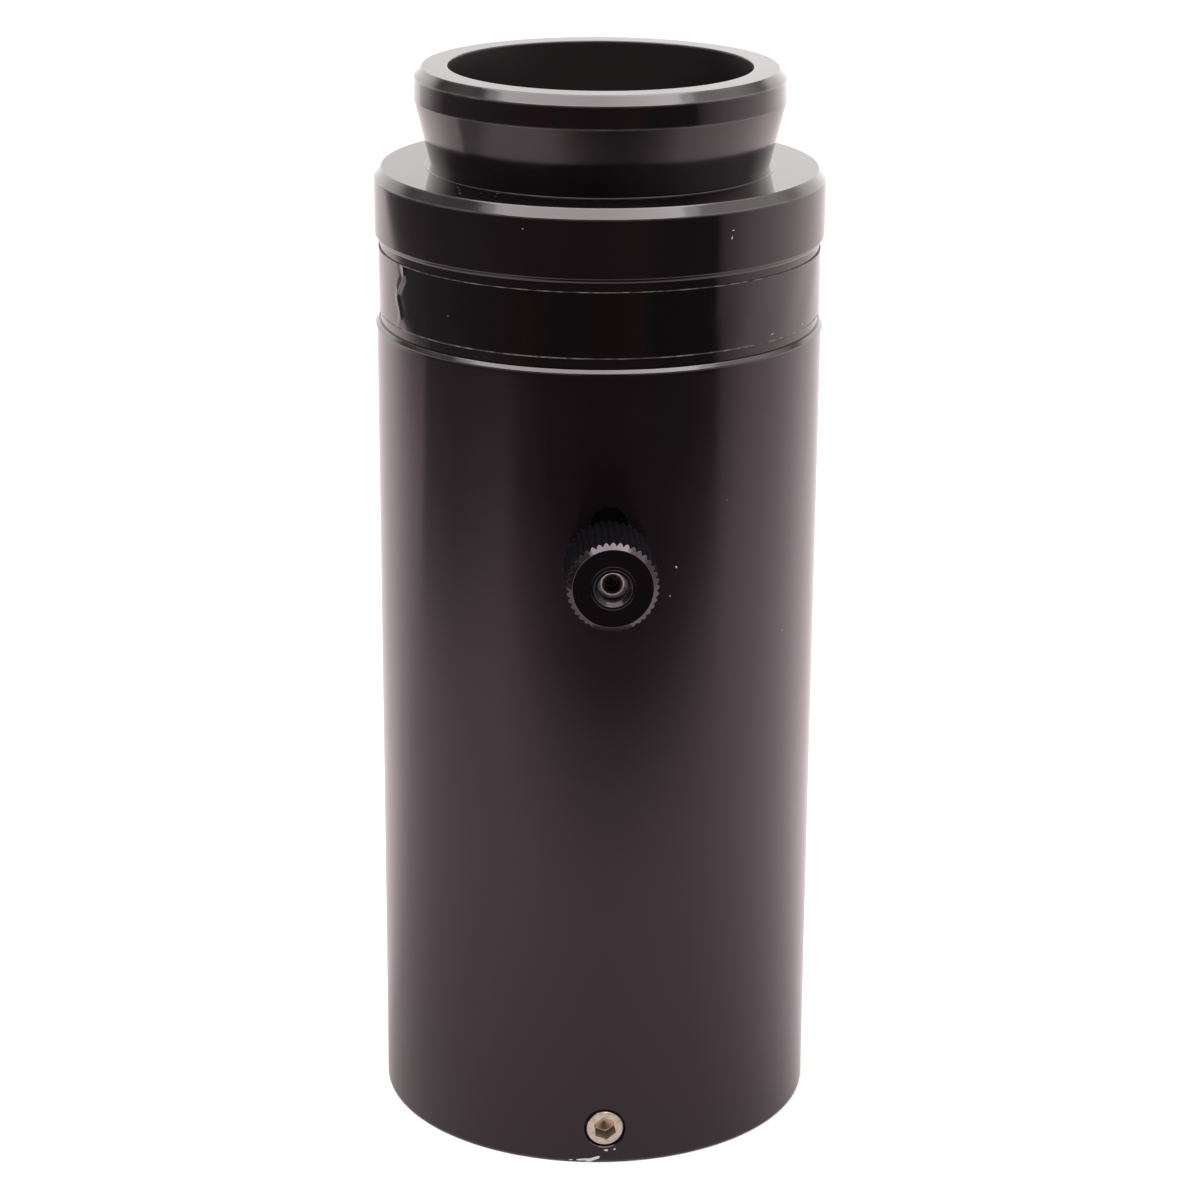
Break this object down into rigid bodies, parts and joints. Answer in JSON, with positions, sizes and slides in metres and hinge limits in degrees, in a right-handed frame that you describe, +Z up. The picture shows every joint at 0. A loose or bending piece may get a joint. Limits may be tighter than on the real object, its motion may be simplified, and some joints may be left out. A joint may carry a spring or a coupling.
{
  "type": "zoom lens rear adapter",
  "caption": "Black tubular rear adapter for a zoom lens: male dovetail on top, label band, knurled clamp knob on a sliding lens carrier, and a set screw at the coupler bore.",
  "frame": {"origin": "on the optical axis, in the plane of the lower end face that the tube stands on, where the coupler bore opens", "axes": "+Z up along the optical axis from the coupler bore to the dovetail, -Y out through the clamp knob and the set screw, +X to the right as seen from the knob"},
  "size_m": [0.0384, 0.0451, 0.0928],
  "materials": {
    "anodised_black": "turned and black anodised, semi-gloss",
    "label_film": "black film, bare",
    "knob_black": "knurled and black anodised",
    "alloy_steel": "worn bare steel",
    "nylon_black": "matte black nylon",
    "stainless_steel": "bright stainless",
    "brass": "turned brass",
    "matte_black": "matte black anodised",
    "lens_glass": "polished and coated optical glass"
  },
  "bodies": {
    "tube": {"body_tube": "anodised_black", "dovetail_head": "anodised_black", "label_band": "label_film"},
    "carrier": {"lens_carrier": "matte_black", "lens_retaining_ring": "matte_black", "front_lens_convex": "lens_glass", "front_lens_concave": "lens_glass", "lens_spacer": "matte_black", "glare_stop": "matte_black", "rear_lens_convex": "lens_glass", "rear_lens_concave": "lens_glass", "clamp_stud": "alloy_steel"},
    "washer": {"saddle_washer": "nylon_black"},
    "knob": {"clamp_knob": "knob_black"},
    "pad": {"coupler_screw_pad": "brass"},
    "screw": {"coupler_set_screw": "stainless_steel"}
  },
  "joints": [
    {"name": "carrier_slide", "type": "slide", "parent": "tube", "child": "carrier", "axis": [0, 0, 1], "range_m": [-0.0011, 0.0033]},
    {"name": "washer_slide", "type": "slide", "parent": "carrier", "child": "washer", "axis": [0, -1, 0], "range_m": [0, 0.00095]},
    {"name": "knob_turn", "type": "hinge", "parent": "washer", "child": "knob", "pos_m": [0, -0.0226, 0.055], "axis": [0, -1, 0], "range_deg": [0, 540]},
    {"name": "pad_slide", "type": "slide", "parent": "tube", "child": "pad", "axis": [0, 1, 0], "range_m": [-0.00159, 0.00099]},
    {"name": "screw_turn", "type": "hinge", "parent": "pad", "child": "screw", "pos_m": [0, -0.0174, 0.00328], "axis": [0, 1, 0], "range_deg": [-720, 450]}
  ],
  "couplings": [
    {"joint": "knob_turn", "follows": "washer_slide", "rad_per_m": 9894.8},
    {"joint": "screw_turn", "follows": "pad_slide", "rad_per_m": 7915.8}
  ]
}
